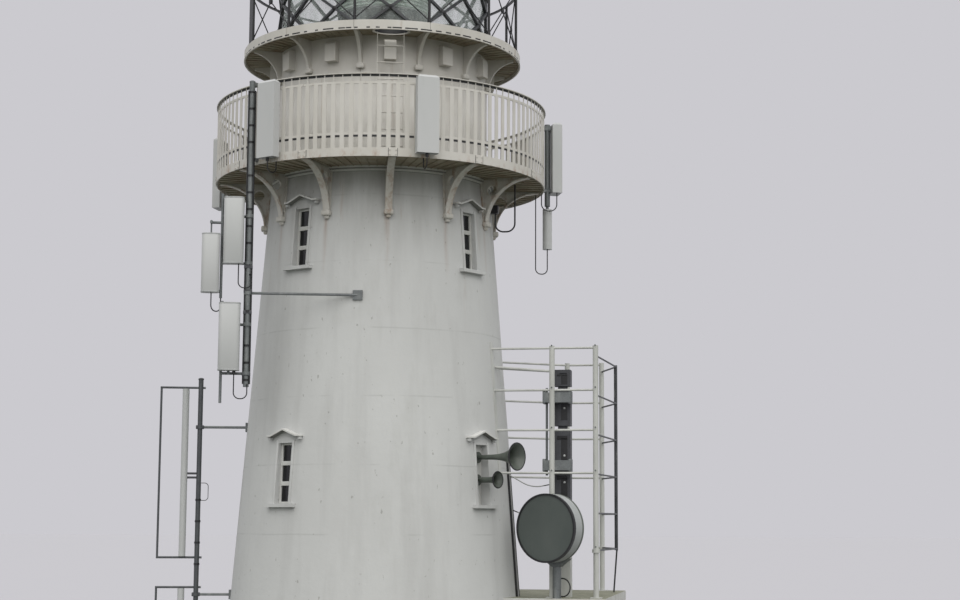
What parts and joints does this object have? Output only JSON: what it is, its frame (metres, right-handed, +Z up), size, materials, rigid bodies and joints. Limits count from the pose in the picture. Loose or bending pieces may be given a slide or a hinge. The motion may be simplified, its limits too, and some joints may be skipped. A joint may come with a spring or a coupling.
{
  "type": "lighthouse with galleries, lens and aerials",
  "caption": "White battered round lighthouse tower with bracketed galleries, glazed lantern with diagonal astragals, lens, low annex, panel aerials on masts and a fog signal stand.",
  "frame": {"origin": "the centre of the round tower at ground level", "axes": "+Z up along the tower, -Y towards the front with the gallery ladder, +X towards the annex"},
  "size_m": [9.0854, 6.4118, 20.248],
  "materials": {
    "white_masonry": "satin",
    "floor_concrete": "matte",
    "white_ironwork": "satin",
    "white_joinery": "satin",
    "window_glass": "gloss",
    "black_ironwork": "satin",
    "lantern_glass": "gloss",
    "roof_metal": "satin",
    "lens_glass": "gloss",
    "galvanised_steel": "matte",
    "aerial_plastic": "satin",
    "horn_plastic": "matte",
    "drum_grey": "matte",
    "cable_rubber": "matte"
  },
  "bodies": {
    "root": {"aerial_mast_arms": "galvanised_steel", "aerial_masts": "galvanised_steel", "annex_corbels": "white_masonry", "annex_end_wall": "white_masonry", "annex_roof_slab": "white_masonry", "annex_side_walls": "white_masonry", "blanked_window_panel": "white_joinery", "cables": "cable_rubber", "doors": "white_joinery", "drum_aerial": "drum_grey", "drum_aerial_post": "galvanised_steel", "fog_stand_guard": "white_ironwork", "fog_stand_posts": "white_ironwork", "fog_stand_rails": "white_ironwork", "gallery_mesh_panel": "black_ironwork", "horn_clamps": "galvanised_steel", "horn_stack": "horn_plastic", "lantern_astragals": "black_ironwork", "lantern_cornice": "roof_metal", "lantern_glass": "lantern_glass", "lantern_sill": "white_ironwork", "lens": "lens_glass", "lens_pedestal": "black_ironwork", "lightning_rod": "galvanised_steel", "lower_gallery_balustrade": "white_ironwork", "lower_gallery_brackets": "white_ironwork", "lower_gallery_deck": "white_ironwork", "lower_gallery_fascia": "white_ironwork", "manhole_ladder": "white_ironwork", "manhole_plate": "white_ironwork", "panel_aerial_mounts": "galvanised_steel", "panel_aerials": "aerial_plastic", "rod_aerials": "aerial_plastic", "roof_gores": "roof_metal", "rounded_aerials": "aerial_plastic", "tower_floors": "floor_concrete", "tower_lower_diagonal_bays": "white_masonry", "tower_lower_straight_bays": "white_masonry", "tower_upper_straight_bays": "white_masonry", "tower_upper_window_bays": "white_masonry", "trumpets": "drum_grey", "upper_gallery_brackets": "white_ironwork", "upper_gallery_deck": "white_ironwork", "upper_gallery_kerb": "white_ironwork", "upper_gallery_rods": "black_ironwork", "upper_gallery_stanchions": "black_ironwork", "upper_gallery_top_rail": "black_ironwork", "ventilator_ball": "roof_metal", "ventilator_boxes": "white_ironwork", "watchroom_wall_plates": "white_ironwork", "window_frames": "white_joinery", "window_hoods": "white_masonry", "window_panes": "window_glass", "window_sills": "white_masonry"}
  },
  "joints": []
}
